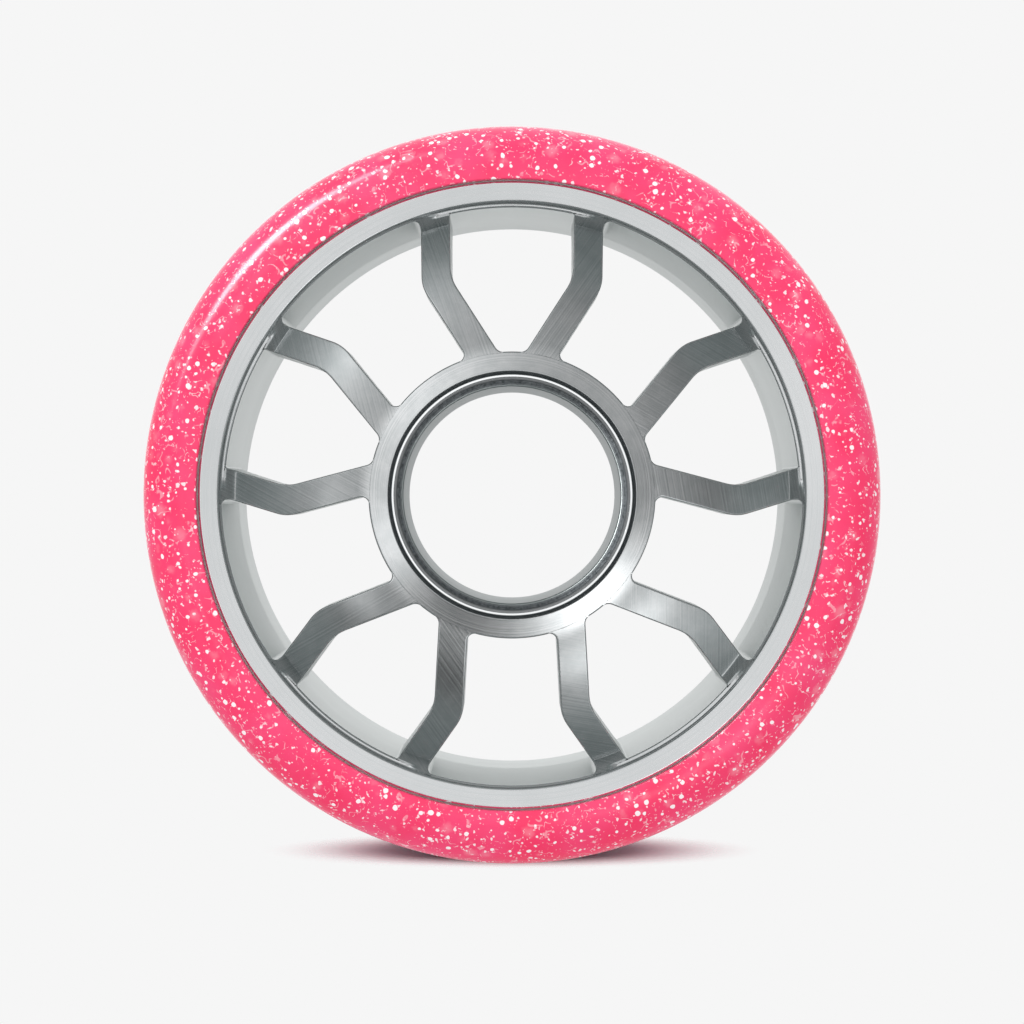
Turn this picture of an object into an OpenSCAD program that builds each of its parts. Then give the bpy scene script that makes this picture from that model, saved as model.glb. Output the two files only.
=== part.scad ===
// Roller skate wheel: a cast polyurethane tyre on a one-piece machined aluminium hub.
// Millimetres, +Z up, the axle line along Y, the front towards -Y, the origin at the wheel's centre.

/* [Tyre] */
// Diameter over the tread
tyre_d = 70; // [64:0.5:90]
// Width of the tyre
tyre_w = 31; // [30:0.5:45]
// Thickness of the tyre over the rim
tyre_t = 5.4; // [4.8:0.1:8]
// Radius of the tread's shoulders
shoulder_r = 4.5; // [1:0.25:4.5]
// Rounding of the tyre's inner edges beside the rim
seam_r = 0.15; // [0.1:0.05:0.6]

/* [Rim] */
// Width of the rim
rim_w = 29.5; // [26:0.5:31]
// Radial width of the rim's flat lip
lip_w = 2.1; // [1.6:0.1:3]
// Edge break on the lip
lip_edge = 0.15; // [0.1:0.05:0.4]
// Radius of the cove between lip and spokes
cove_r = 1.2; // [0.6:0.1:1.4]
// Number of keying grooves round the rim
groove_n = 4; // [2:1:6]
// Width of a keying groove
groove_w = 3; // [1:0.25:4]
// Depth of a keying groove
groove_depth = 0.8; // [0.3:0.1:1.1]

/* [Bearing ring] */
// Outside diameter of the bearing ring
ring_d = 26.8; // [25:0.2:30]
// Length of the bearing ring along the axle
ring_w = 33; // [31:0.5:45]
// Diameter of a bearing seat
seat_d = 22; // [19:0.5:24]
// Depth of a bearing seat
seat_depth = 7; // [5:0.5:9]
// Diameter of the bore between the shoulders
shoulder_d = 20.8; // [16:0.2:21]
// Edge break on the shoulders
shoulder_edge = 0.15; // [0.05:0.05:0.25]
// Rounding of the seat's mouth
mouth_r = 0.3; // [0.1:0.05:0.5]
// Radial width of the lead-in cone at the mouth
lead_w = 0.3; // [0.1:0.05:0.6]
// Depth of the lead-in cone
lead_depth = 0.5; // [0.2:0.05:0.8]
// Edge break on the ring's outer edges
ring_edge = 0.2; // [0.05:0.05:0.4]

/* [Spokes] */
// Number of spoke pairs
pair_n = 5; // [3:1:5]
// Width of a spoke
spoke_w = 2.75; // [1.5:0.05:3.2]
// Depth of a spoke at the bearing ring
spoke_t = 8.2; // [4:0.2:12]
// Step from the ring's face down to the spokes
face_step = 0.35; // [0.1:0.05:1]
// Radius of the spokes' crowned front
crown_r = 30; // [26:1:60]
// Distance of a spoke from the pair's middle line at the ring
root_u = 2.75; // [2.2:0.05:3.5]
// Distance of a spoke's bend from the pair's middle line
bend_u = 7.1; // [5.5:0.1:8]
// Distance of a spoke's bend from the axle, along the pair's middle line
bend_v = 19.9; // [18:0.1:21.5]
// Distance of a spoke from the pair's middle line at the rim
tip_u = 7.26; // [6:0.1:8.5]
// Rounding of the bend on the side of the pair's own window
bend_in_r = 4; // [1:0.25:5]
// Rounding of the bend on the side of the window between pairs
bend_out_r = 3.5; // [1:0.25:5]
// Fillet at the ring inside a pair
notch_r = 0.9; // [0.3:0.05:1.4]
// Fillet at the ring between pairs
root_r = 0.7; // [0.3:0.05:1.5]
// Fillet at the rim inside a pair
tip_in_r = 0.3; // [0.2:0.05:1]
// Fillet at the rim between pairs
tip_out_r = 0.6; // [0.3:0.05:2]
// Ledge left under the lip by a pair's window
pair_ledge = 0.45; // [0.2:0.05:0.8]
// Ledge left under the lip by a window between pairs
gap_ledge = 0.2; // [0.05:0.05:0.5]
// Radius of the spokes' dished back
dish_r = 14.1; // [9:0.1:16]
// Fillet between the dished back of the spokes and the bearing ring
dish_root_r = 1.5; // [0.5:0.25:3]

/* [Hidden] */
$fn = 180;
slack = 1;
weld = 0.02;
arc_n = 6;
tyre_r = tyre_d / 2;
rim_r = tyre_r - tyre_t;
lip_r = rim_r - lip_w;
ring_r = ring_d / 2;
seat_r = seat_d / 2;
bore_r = shoulder_d / 2;
face_h = ring_w / 2;
lip_h = rim_w / 2;
mouth_h = face_h - lead_depth;
seat_h = mouth_h - mouth_r;
shoulder_h = seat_h - seat_depth;
web_h = face_h - face_step;
crown_c = [ring_r, web_h - crown_r];
cove_c = [
    lip_r - cove_r,
    crown_c.y + sqrt(pow(crown_r + cove_r, 2) - pow(lip_r - cove_r - ring_r, 2))
];
dish_c = [lip_r - dish_r, web_h - spoke_t - dish_r];
fillet_reach = max(0, ring_r + dish_root_r - dish_c.x);
fillet_c = [
    ring_r + dish_root_r,
    dish_c.y + sqrt(pow(dish_r - dish_root_r, 2) - pow(fillet_reach, 2))
];
fillet_top = fillet_reach > 0
    ? dish_c + unit(fillet_c - dish_c) * (dish_r + slack / 2)
    : [fillet_c.x, dish_c.y + dish_r + slack / 2];
web_end_r = lip_r + lip_w / 4;
groove_pitch = rim_w / groove_n;
pair_r = lip_r - pair_ledge;
gap_r = lip_r - gap_ledge;
root = [root_u, sqrt(pow(ring_r, 2) - pow(root_u, 2))];
bend = [bend_u, bend_v];
tip = [tip_u, sqrt(pow(lip_r, 2) - pow(tip_u, 2))];
leg_in = unit(bend - root);
leg_out = unit(tip - bend);
gap_turn = 180 / pair_n;

function unit(v) = v / norm(v);
function left(d) = [-d.y, d.x];
function turned(p, a) = [p.x * cos(a) - p.y * sin(a), p.x * sin(a) + p.y * cos(a)];
function mirrored(points) = [for (i = [len(points) - 1 : -1 : 0]) [-points[i].x, points[i].y]];

// Where the line through p along d leaves the circle of radius r round the axle
function leaving(p, d, r) = p + d * (sqrt(pow(p * d, 2) - p * p + r * r) - p * d);

// Where the line through p along d meets the line through q along e
function meeting(p, d, q, e) = p + d * cross(q - p, e) / cross(d, e);

// Tangent points and centre of a fillet of radius r at corner v, entered along d and left along e
function corner(v, d, e, r) =
    let (
        t = r * tan(acos(d * e) / 2),
        side = cross(d, e) > 0 ? 1 : -1
    )
    [v - d * t, v + e * t, v - d * t + left(d) * r * side];

// A convex polygon, counterclockwise, with true arcs of the given radii at its corners
module rounded(points, radii) {
    n = len(points);
    fillets = [
        for (i = [0 : n - 1])
            corner(
                points[i],
                unit(points[i] - points[(i + n - 1) % n]),
                unit(points[(i + 1) % n] - points[i]),
                radii[i]
            )
    ];
    intersection() {
        polygon(points);
        union() {
            polygon([for (f = fillets) for (p = [f[0], f[1]]) p]);
            for (i = [0 : n - 1])
                translate(fillets[i][2])
                    circle(r = radii[i]);
        }
    }
}

// Turns a profile of radius and height into a body round the axle, height towards the front
module turn_round() {
    rotate([90, 0, 0])
        rotate_extrude()
            children();
}

// Cuts right through the wheel along the axle
module cut_through() {
    rotate([90, 0, 0])
        linear_extrude(height = ring_w + 2 * slack, center = true)
            children();
}

// Points on the short arc from p to q round c
function arc(c, p, q) =
    let (
        a = atan2(p.y - c.y, p.x - c.x),
        b = atan2(q.y - c.y, q.x - c.x),
        sweep = b - a > 180 ? b - a - 360 : b - a < -180 ? b - a + 360 : b - a
    )
    [for (i = [0 : arc_n]) c + norm(p - c) * [cos(a + sweep * i / arc_n), sin(a + sweep * i / arc_n)]];

// One side of a window, from inside the ring to inside the rim, filleted at the ring, bend and rim
// side is 1 for the window inside a pair and -1 for the window between pairs
function window_side(side, foot_r, knee_r, top_r, outer_r) =
    let (
        out = left(leg_in) * side,
        out_2 = left(leg_out) * side,
        p_in = root + out * spoke_w / 2,
        p_out = bend + out_2 * spoke_w / 2,
        knee = corner(meeting(p_in, leg_in, p_out, leg_out), leg_in, leg_out, knee_r),
        foot = leaving(p_in + out * foot_r, leg_in, ring_r + foot_r - weld),
        top = leaving(p_out + out_2 * top_r, leg_out, outer_r - top_r + weld)
    )
    concat(
        [unit(foot) * (ring_r - 2 * slack)],
        arc(foot, foot - unit(foot) * foot_r, foot - out * foot_r),
        arc(knee[2], knee[0], knee[1]),
        arc(top, top - out_2 * top_r, top + unit(top) * top_r),
        [unit(top) * (outer_r + slack)]
    );

// A window out to a circle of radius outer_r, from one side's outline
module window(half, outer_r) {
    intersection() {
        polygon(concat(half, mirrored(half)));
        circle(r = outer_r);
    }
}

// The window inside a pair of spokes
module pair_window() {
    window(window_side(1, notch_r, bend_in_r, tip_in_r, pair_r), pair_r);
}

// The window between two pairs of spokes, upright on its own middle line
module gap_window() {
    side = window_side(-1, root_r, bend_out_r, tip_out_r, gap_r);
    window([for (p = side) turned(p, gap_turn)], gap_r);
}

// Half of the bearing ring's profile, from the middle of the wheel to the front
module ring_half() {
    mouth = seat_r + mouth_r;
    polygon([
        [bore_r, 0],
        [ring_r, 0],
        [ring_r, face_h - ring_edge],
        [ring_r - ring_edge, face_h],
        [mouth + lead_w, face_h],
        [mouth, mouth_h],
        [mouth, seat_h],
        [seat_r, seat_h],
        [seat_r, shoulder_h],
        [bore_r + shoulder_edge, shoulder_h],
        [bore_r, shoulder_h - shoulder_edge]
    ]);
    translate([mouth, seat_h])
        circle(r = mouth_r);
}

// The rim's profile, with its keying grooves
module rim_profile() {
    difference() {
        polygon([
            [lip_r, -lip_h + lip_edge],
            [lip_r + lip_edge, -lip_h],
            [rim_r - lip_edge, -lip_h],
            [rim_r, -lip_h + lip_edge],
            [rim_r, lip_h - lip_edge],
            [rim_r - lip_edge, lip_h],
            [lip_r + lip_edge, lip_h],
            [lip_r, lip_h - lip_edge]
        ]);
        keys();
    }
}

// The keying grooves' profile, shared by the rim and the tyre
module keys() {
    for (i = [0 : groove_n - 1])
        translate([rim_r - groove_depth, (i + 0.5 - groove_n / 2) * groove_pitch - groove_w / 2])
            square([groove_depth + slack, groove_w]);
}

// The web between ring and rim, crowned in front and dished behind
module web_profile() {
    difference() {
        intersection() {
            translate([ring_r - slack, dish_c.y])
                square([web_end_r - ring_r + slack, web_h - dish_c.y]);
            translate(crown_c)
                circle(r = crown_r);
        }
        translate(dish_c)
            circle(r = dish_r);
        if (dish_c.x > ring_r)
            translate([0, dish_c.y - slack])
                square([dish_c.x, dish_r + slack]);
    }
    difference() {
        intersection() {
            polygon([
                crown_c + (cove_c - crown_c) * (crown_r - slack / 2) / (crown_r + cove_r),
                [web_end_r, crown_c.y + sqrt(pow(crown_r, 2) - pow(web_end_r - ring_r, 2)) - slack],
                [web_end_r, cove_c.y],
                cove_c
            ]);
            translate([ring_r, dish_c.y])
                square([lip_r, lip_h - lip_edge - dish_c.y]);
        }
        translate(cove_c)
            circle(r = cove_r);
    }
    difference() {
        polygon([
            [ring_r - slack / 2, fillet_c.y],
            fillet_c,
            fillet_top,
            [ring_r - slack / 2, dish_c.y + dish_r + slack / 2]
        ]);
        translate(fillet_c)
            circle(r = dish_root_r);
    }
}

// Machined aluminium: bearing ring, spokes and rim in one piece
module hub() {
    color("silver") {
        turn_round() {
            ring_half();
            mirror([0, 1])
                ring_half();
        }
        turn_round()
            rim_profile();
        difference() {
            turn_round()
                web_profile();
            cut_through()
                for (i = [0 : pair_n - 1])
                    rotate(i * 360 / pair_n) {
                        pair_window();
                        rotate(gap_turn)
                            gap_window();
                    }
        }
    }
}

// Cast polyurethane, bonded to the rim and keyed into its grooves
module tyre() {
    color("hotpink")
        turn_round() {
            rounded(
                [
                    [rim_r, -tyre_w / 2],
                    [tyre_r, -tyre_w / 2],
                    [tyre_r, tyre_w / 2],
                    [rim_r, tyre_w / 2]
                ],
                [seam_r, shoulder_r, shoulder_r, seam_r]
            );
            keys();
        }
}

hub();
tyre();
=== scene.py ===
"""Roller skate wheel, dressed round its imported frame.

A cast polyurethane tyre with white flakes sits on a one-piece machined aluminium hub: a bearing ring,
ten bent spokes in five pairs, and a rim with a turned lip. Sizes in the classes are millimetres in the
part's own frame: +Z up, the axle line along Y, the front towards -Y. Plan points are (x, z), heights are
measured from the middle of the wheel towards the front, and angles run clockwise from the top as the
front is seen.
"""

from __future__ import annotations

import logging
import math
from dataclasses import dataclass
from enum import Enum
from typing import Any

import bpy
import numpy as np
from mathutils import Matrix

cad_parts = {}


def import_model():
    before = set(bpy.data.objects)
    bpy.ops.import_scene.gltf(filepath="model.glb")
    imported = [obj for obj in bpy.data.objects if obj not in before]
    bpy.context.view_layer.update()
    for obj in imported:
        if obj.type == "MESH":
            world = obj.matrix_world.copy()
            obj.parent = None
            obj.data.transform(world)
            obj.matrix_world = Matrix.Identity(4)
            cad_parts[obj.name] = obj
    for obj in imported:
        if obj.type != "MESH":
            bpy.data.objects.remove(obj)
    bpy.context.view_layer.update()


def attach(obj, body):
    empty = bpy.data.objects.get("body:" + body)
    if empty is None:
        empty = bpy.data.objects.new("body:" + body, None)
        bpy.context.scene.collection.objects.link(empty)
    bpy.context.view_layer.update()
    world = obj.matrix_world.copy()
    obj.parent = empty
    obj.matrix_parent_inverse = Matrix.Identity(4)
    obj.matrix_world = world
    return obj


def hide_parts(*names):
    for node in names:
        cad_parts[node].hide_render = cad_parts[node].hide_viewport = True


LOG = logging.getLogger("skate_wheel")
Array = np.ndarray
Place = tuple[float, float, float]
Socket = bpy.types.NodeSocket
Tree = bpy.types.NodeTree
MM = 0.001
ROOT = "root"
MARKS = "marks"
# Share of their full depth that the marks on a turned surface have.
RING_MARK_DEPTH = 0.3
# Where a Mix node that mixes colours has its two colours and its result.
MIX_A, MIX_B, MIX_OUT = 6, 7, 2


class Finish(Enum):
    """How a face of the hub was made, in the order of the hub's material slots."""

    FACE = 0
    LIP = 1
    WALL = 2
    SEAT = 3
    BORE = 4
    EDGE = 5
    STEP = 6
    LINE = 7


class Lay(Enum):
    """Which way a tool's marks run."""

    RINGS = "rings round the axle"
    RUNS = "straight runs across a spoke"


def linear(code: str) -> tuple[float, float, float, float]:
    """Turns an sRGB hex colour into linear light.

    Args:
        code: Six hex digits.

    Returns:
        Red, green and blue in linear light, and an alpha of 1.
    """
    parts = [int(code[i : i + 2], 16) / 255 for i in (0, 2, 4)]
    lit = [p / 12.92 if p <= 0.04045 else ((p + 0.055) / 1.055) ** 2.4 for p in parts]
    return (lit[0], lit[1], lit[2], 1.0)


def add(tree: Tree, kind: str, inputs: dict | None = None, **settings: Any) -> bpy.types.Node:
    """Adds one node with its settings and links.

    Args:
        tree: The node tree to add to.
        kind: The node's type name, without the ShaderNode that it starts with.
        inputs: A value or an output socket for each input, by name or index.
        settings: The node's own properties.

    Returns:
        The new node.
    """
    made = tree.nodes.new("ShaderNode" + kind)
    for key, value in settings.items():
        setattr(made, key, value)
    for key, value in (inputs or {}).items():
        if isinstance(value, Socket):
            tree.links.new(value, made.inputs[key])
        else:
            made.inputs[key].default_value = value
    return made


def emptied(block: bpy.types.Material | bpy.types.World) -> Tree:
    """Gives a material or world an empty node tree.

    Args:
        block: The material or world.

    Returns:
        Its node tree.
    """
    block.use_nodes = True
    block.node_tree.nodes.clear()
    return block.node_tree


def unit(v: Array) -> Array:
    """Scales a vector to length one."""
    return v / np.linalg.norm(v, axis=-1, keepdims=True)


def left(d: Array) -> Array:
    """Turns plan directions a quarter turn to the left."""
    return np.stack([-d[..., 1], d[..., 0]], axis=-1)


def cross(a: Array, b: Array) -> float:
    """Cross product of two plan vectors."""
    return float(a[0] * b[1] - a[1] * b[0])


def leaving(p: Array, d: Array, r: float | Array) -> Array:
    """Finds where the line through p along d leaves each circle of radius r round the axle."""
    along = float(p @ d)
    return p + np.multiply.outer(np.sqrt(along * along - float(p @ p) + np.square(r)) - along, d)


def meeting(p: Array, d: Array, q: Array, e: Array) -> Array:
    """Finds where the line through p along d meets the line through q along e."""
    return p + d * cross(q - p, e) / cross(d, e)


def toward(off_axis_deg: float, clock_deg: float, far: float = 1.0) -> Place:
    """Finds the place at a distance from the wheel's middle.

    Args:
        off_axis_deg: Angle off the axle line, from the front.
        clock_deg: Angle round the axle, clockwise from the top as the front is seen.
        far: The distance.

    Returns:
        The place, in the units of the distance.
    """
    tilt, turn = math.radians(off_axis_deg), math.radians(clock_deg)
    aside = far * math.sin(tilt)
    return (aside * math.sin(turn), -far * math.cos(tilt), aside * math.cos(turn))


def run(a: Array, b: Array, count: int) -> Array:
    """Points at even steps on a straight line from a to b, both ends left out."""
    return a + (b - a) * np.linspace(0, 1, count + 2)[1:-1, None]


def arc(c: Array, a: Array, b: Array, count: int) -> Array:
    """Points on the short arc round c from a to b, both ends kept.

    Args:
        c: The arc's centre.
        a: The start.
        b: The end, as far from c as a.
        count: How many points.

    Returns:
        The points, one a row.
    """
    start = math.atan2(*(a - c)[::-1])
    sweep = math.atan2(*(b - c)[::-1]) - start
    sweep = (sweep + math.pi) % (2 * math.pi) - math.pi
    angles = start + sweep * np.linspace(0, 1, count)
    return c + np.linalg.norm(a - c) * np.stack([np.cos(angles), np.sin(angles)], axis=-1)


def rounded(c: tuple[float, float], r: float, first: float, last: float, count: int = 5) -> Array:
    """Points on an arc of a profile, from one angle to another.

    Args:
        c: Radius and height of the arc's centre.
        r: The arc's radius.
        first: Start angle in degrees, from outwards towards the front.
        last: End angle in degrees.
        count: How many points.

    Returns:
        Radius and height of each point, one a row.
    """
    angles = np.radians(np.linspace(first, last, count))
    return np.stack([c[0] + r * np.cos(angles), c[1] + r * np.sin(angles)], axis=-1)


def straight(a: tuple[float, float], b: tuple[float, float], hold: float = 0.03) -> Array:
    """Points along a flat band of a profile, with one close to each end so that the flat stays flat.

    Args:
        a: Radius and height of the band's start.
        b: Radius and height of its end.
        hold: How close the holding points are to the ends.

    Returns:
        Radius and height of each point, one a row.
    """
    along = np.subtract(b, a)
    step = hold / np.linalg.norm(along)
    return a + along * np.array([0, step, 1 - step, 1])[:, None]


def joined(bands: list[tuple[Array, Finish | Array]]) -> tuple[Array, Array]:
    """Joins the bands of a profile and drops points that repeat the one before.

    Args:
        bands: Points of each band, and its finish or the finish at each point, in order.

    Returns:
        The points that stay, and the finish that each was given.
    """
    points = np.vstack([band[0] for band in bands])
    kinds = [np.full(len(p), f.value) if isinstance(f, Finish) else f for p, f in bands]
    apart = 1e-6
    keep = np.linalg.norm(points - np.roll(points, 1, axis=0), axis=1) > apart
    return points[keep], np.concatenate(kinds)[keep]


@dataclass
class Shell:
    """A closed surface in millimetres: a grid of points whose last column joins its first.

    finish holds each quad's material slot, and marks each point's place across the tool marks and their
    depth there. The last row joins the first too, or, without wrap_rows, both end rows are capped.
    """

    points: Array
    finish: Array
    marks: Array
    wrap_rows: bool = True

    def quads(self) -> Array:
        """Numbers the corners of each quad: a point, its neighbour along, across both, and across.

        Returns:
            Four corner numbers for each quad, one a row.
        """
        rows, cols = self.points.shape[:2]
        ids = np.arange(rows * cols).reshape(rows, cols)
        ahead = np.roll(ids, -1, axis=0)
        quads = np.stack([ids, np.roll(ids, -1, 1), np.roll(ahead, -1, 1), ahead], -1)
        return (quads if self.wrap_rows else quads[:-1]).reshape(-1, 4)

    def volume(self, quads: Array, ends: list[Array]) -> float:
        """Six times the signed volume: the sum over all triangles of their corners' triple product.

        Args:
            quads: Corner numbers of each quad.
            ends: Corner numbers round each end cap, which is split into a fan.

        Returns:
            A number above 0 if the faces point outwards.
        """
        fans = [np.stack([np.full(len(e) - 2, e[0]), e[1:-1], e[2:]], axis=-1) for e in ends]
        p = self.points.reshape(-1, 3)[np.concatenate([quads[:, [0, 1, 2]], quads[:, [0, 2, 3]], *fans])]
        return float(np.einsum("ij,ij->", p[:, 0], np.cross(p[:, 1], p[:, 2])))

    def to_object(self, name: str, materials: list[bpy.types.Material]) -> bpy.types.Object:
        """Makes the surface an object, its faces outwards and its open ends capped.

        Args:
            name: The object's name.
            materials: Its materials, in the order of the finishes.

        Returns:
            The object, at the origin.
        """
        rows, cols = self.points.shape[:2]
        quads = self.quads()
        ends = [] if self.wrap_rows else [np.arange(cols)[::-1], np.arange(cols) + (rows - 1) * cols]
        if self.volume(quads, ends) < 0:
            quads, ends = quads[:, ::-1], [e[::-1] for e in ends]
        corners = np.concatenate([quads.ravel(), *ends]).astype(np.int32)
        starts = np.arange(0, quads.size, 4)
        starts = np.concatenate([starts, quads.size + cols * np.arange(len(ends))]).astype(np.int32)
        bands = self.finish if self.wrap_rows else self.finish[:-1]
        kinds = np.concatenate([bands.ravel(), np.full(len(ends), Finish.WALL.value)])
        mesh = bpy.data.meshes.new(name)
        for material in materials:
            mesh.materials.append(material)
        mesh.vertices.add(rows * cols)
        mesh.vertices.foreach_set("co", (self.points * MM).astype(np.float32).ravel())
        mesh.loops.add(len(corners))
        mesh.loops.foreach_set("vertex_index", corners)
        mesh.polygons.add(len(starts))
        mesh.polygons.foreach_set("loop_start", starts)
        mesh.polygons.foreach_set("material_index", kinds.astype(np.int32))
        layer = mesh.uv_layers.new(name=MARKS)
        layer.uv.foreach_set("vector", self.marks.reshape(-1, 2)[corners].astype(np.float32).ravel())
        mesh.update(calc_edges=True)
        mesh.validate()
        made = bpy.data.objects.new(name, mesh)
        bpy.context.scene.collection.objects.link(made)
        return made


def turned(profile: Array, finish: Array, count: int) -> Shell:
    """Carries a closed profile round the axle.

    At angle a a profile point of radius r and height h lies at (r sin a, -h, r cos a).

    Args:
        profile: Radius and height, of shape (points, 2), or (points, count, 2) where it varies round.
        finish: The finish of the band that starts at each point.
        count: How many steps round the axle.

    Returns:
        The surface.
    """
    grid = profile if profile.ndim == 3 else np.repeat(profile[:, None], count, axis=1)
    angle = np.linspace(0, 2 * math.pi, count, endpoint=False)
    r, h = grid[..., 0], grid[..., 1]
    points = np.stack([r * np.sin(angle), -h, r * np.cos(angle)], axis=-1)
    marks = np.stack([r * MM, np.full_like(r, RING_MARK_DEPTH)], axis=-1)
    return Shell(points, np.repeat(finish[:, None], count, axis=1), marks)


def settled(body: bpy.types.Object, spent: list[bpy.types.Object] | None = None) -> None:
    """Replaces an object's mesh by what its modifiers make of it, and drops the modifiers.

    Args:
        body: The object.
        spent: Objects that the modifiers used and that go.
    """
    bpy.context.view_layer.update()
    graph = bpy.context.evaluated_depsgraph_get()
    mesh = bpy.data.meshes.new_from_object(body.evaluated_get(graph))
    old = body.data
    body.modifiers.clear()
    body.data = mesh
    mesh.name = body.name
    bpy.data.meshes.remove(old)
    for other in spent or []:
        bpy.data.meshes.remove(other.data)


def fused(body: bpy.types.Object, others: list[bpy.types.Object]) -> None:
    """Unites solids that overlap into one closed surface.

    Args:
        body: The solid that takes the others in.
        others: The other solids, which are removed.
    """
    for other in others:
        step = body.modifiers.new("fuse", "BOOLEAN")
        step.operation = "UNION"
        step.solver = "MANIFOLD"
        step.object = other
    settled(body, others)


def shaded(body: bpy.types.Object, sharp_deg: float) -> None:
    """Shades a piece smooth, with sharp edges where faces meet at more than an angle.

    Args:
        body: The piece.
        sharp_deg: The angle in degrees.
    """
    body.data.shade_smooth()
    body.data.set_sharp_from_angle(angle=math.radians(sharp_deg))
    step = body.modifiers.new("weigh", "WEIGHTED_NORMAL")
    step.keep_sharp = True
    settled(body)


@dataclass(frozen=True)
class Aluminium:
    """Machined aluminium: a bright metal whose tool marks draw its reflections out across them.

    Real tool marks lie 0.05 to 0.1 mm apart. That is too fine to show, so they are drawn coarser, at
    pitch_mm. Its colour drifts in soft patches between the two tones, because the cut isn't even, and
    outside a radius it is multiplied by a third tone: a painted shade that darkens the spokes of the faced
    finish.
    """

    name: str
    colour: str
    dull_colour: str
    roughness: float
    lay: Lay
    pitch_mm: float
    depth_mm: float
    patch_mm: float
    tint: float = 1.0
    # Painted shade: outside a radius the colour is multiplied by this darker tone.
    painted_shade_colour: str = "FFFFFF"
    painted_shade_from_mm: float = 13.2
    painted_shade_to_mm: float = 14.4
    rough_spread: float = 0.15
    mark_range: tuple[float, float] = (0.3, 0.7)
    patch_range: tuple[float, float] = (0.78, 1.22)

    def material(self) -> bpy.types.Material:
        """Builds the material: tool marks in bump and roughness, and cloudy patches in its colour.

        Returns:
            The material.
        """
        made = bpy.data.materials.new(self.name)
        tree = emptied(made)
        place = add(tree, "TexCoord").outputs["Object"]
        flat = add(tree, "VectorMath", {0: place, 1: (1, 0, 1)}, operation="MULTIPLY")
        radius = add(tree, "VectorMath", {0: flat.outputs[0]}, operation="LENGTH").outputs["Value"]
        across: Socket = radius
        depth: Socket | float = 1.0
        if self.lay is Lay.RUNS:
            layer = add(tree, "UVMap", uv_map=MARKS)
            parts = add(tree, "SeparateXYZ", {0: layer.outputs[0]})
            across, depth = parts.outputs["X"], parts.outputs["Y"]
        step = add(tree, "Math", {0: across, 1: 1 / (self.pitch_mm * MM)}, operation="MULTIPLY")
        fine = add(
            tree,
            "TexNoise",
            {"W": step.outputs[0], "Scale": 1.0, "Detail": 1.0, "Roughness": 0.5},
            noise_dimensions="1D",
        ).outputs["Fac"]
        cloud = add(
            tree,
            "TexNoise",
            {"Vector": place, "Scale": 1 / (self.patch_mm * MM), "Detail": 4.0, "Roughness": 0.6},
        )
        both = add(tree, "Math", {0: cloud.outputs["Fac"], 1: fine}, operation="ADD")
        patch = add(
            tree,
            "MapRange",
            {"Value": both.outputs[0], "From Min": self.patch_range[0], "From Max": self.patch_range[1]},
        )
        tone = add(
            tree,
            "Mix",
            {0: patch.outputs[0], MIX_A: linear(self.dull_colour), MIX_B: linear(self.colour)},
            data_type="RGBA",
        )
        # Painted shade: outside a radius the colour is multiplied by a darker tone, so the spokes show
        # darker than the ring.
        outer = add(
            tree,
            "MapRange",
            {"Value": radius, "From Min": self.painted_shade_from_mm * MM, "From Max": self.painted_shade_to_mm * MM},
        )
        colour = add(
            tree,
            "Mix",
            {0: outer.outputs[0], MIX_A: tone.outputs[MIX_OUT], MIX_B: linear(self.painted_shade_colour)},
            data_type="RGBA",
            blend_type="MULTIPLY",
        )
        shine = add(
            tree,
            "MapRange",
            {
                "Value": fine,
                "From Min": self.mark_range[0],
                "From Max": self.mark_range[1],
                "To Min": self.roughness * (1 - self.rough_spread),
                "To Max": self.roughness * (1 + self.rough_spread),
            },
        )
        bump = add(tree, "Bump", {"Height": fine, "Strength": depth, "Distance": self.depth_mm * MM})
        shader = add(
            tree,
            "BsdfPrincipled",
            {
                "Base Color": colour.outputs[MIX_OUT],
                "Metallic": 1.0,
                "Roughness": shine.outputs[0],
                "Normal": bump.outputs[0],
                "Specular Tint": (self.tint, self.tint, self.tint, 1),
            },
        )
        add(tree, "OutputMaterial", {"Surface": shader.outputs[0]})
        return made


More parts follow.
